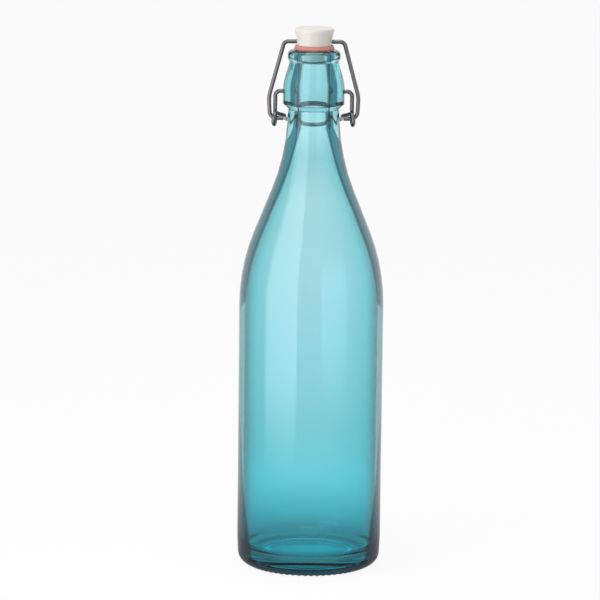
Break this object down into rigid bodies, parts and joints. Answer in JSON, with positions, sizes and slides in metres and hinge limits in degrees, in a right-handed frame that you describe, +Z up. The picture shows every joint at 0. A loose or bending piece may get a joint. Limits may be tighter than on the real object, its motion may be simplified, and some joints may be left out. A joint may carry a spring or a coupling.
{
  "type": "swing top bottle",
  "caption": "Tall round glass bottle with a narrow neck, closed by a plastic stopper and rubber ring on a sprung wire bail that a wire lever pulls down.",
  "frame": {"origin": "centre of the ring that the bottle stands on", "axes": "+Z up along the bottle, front towards -Y, lever handle towards +Y"},
  "size_m": [0.085, 0.085, 0.3192],
  "materials": {
    "tinted_glass": "clear teal glass",
    "white_plastic": "moulded, satin",
    "coral_rubber": "smooth",
    "steel_wire": "drawn wire"
  },
  "bodies": {
    "bottle": {"glass_bottle": "tinted_glass"},
    "lever": {"lever_wire": "steel_wire"},
    "bail": {"bail_wire": "steel_wire"},
    "stopper_head": {"stopper": "white_plastic", "sealing_ring": "coral_rubber"}
  },
  "joints": [
    {"name": "lever_swing", "type": "hinge", "parent": "bottle", "child": "lever", "pos_m": [0, 0, 0.2821], "axis": [1, 0, 0], "range_deg": [0, 180]},
    {"name": "bail_swing", "type": "hinge", "parent": "lever", "child": "bail", "pos_m": [0, -0.00165, 0.26635], "axis": [1, 0, 0], "range_deg": [-120, 0]},
    {"name": "stopper_tilt", "type": "hinge", "parent": "bail", "child": "stopper_head", "pos_m": [0, 0, 0.31115], "axis": [1, 0, 0], "range_deg": [-60.5, 0]}
  ],
  "couplings": [
    {"joint": "bail_swing", "follows": "lever_swing", "ratio": -0.665},
    {"joint": "stopper_tilt", "follows": "lever_swing", "ratio": -0.335}
  ]
}
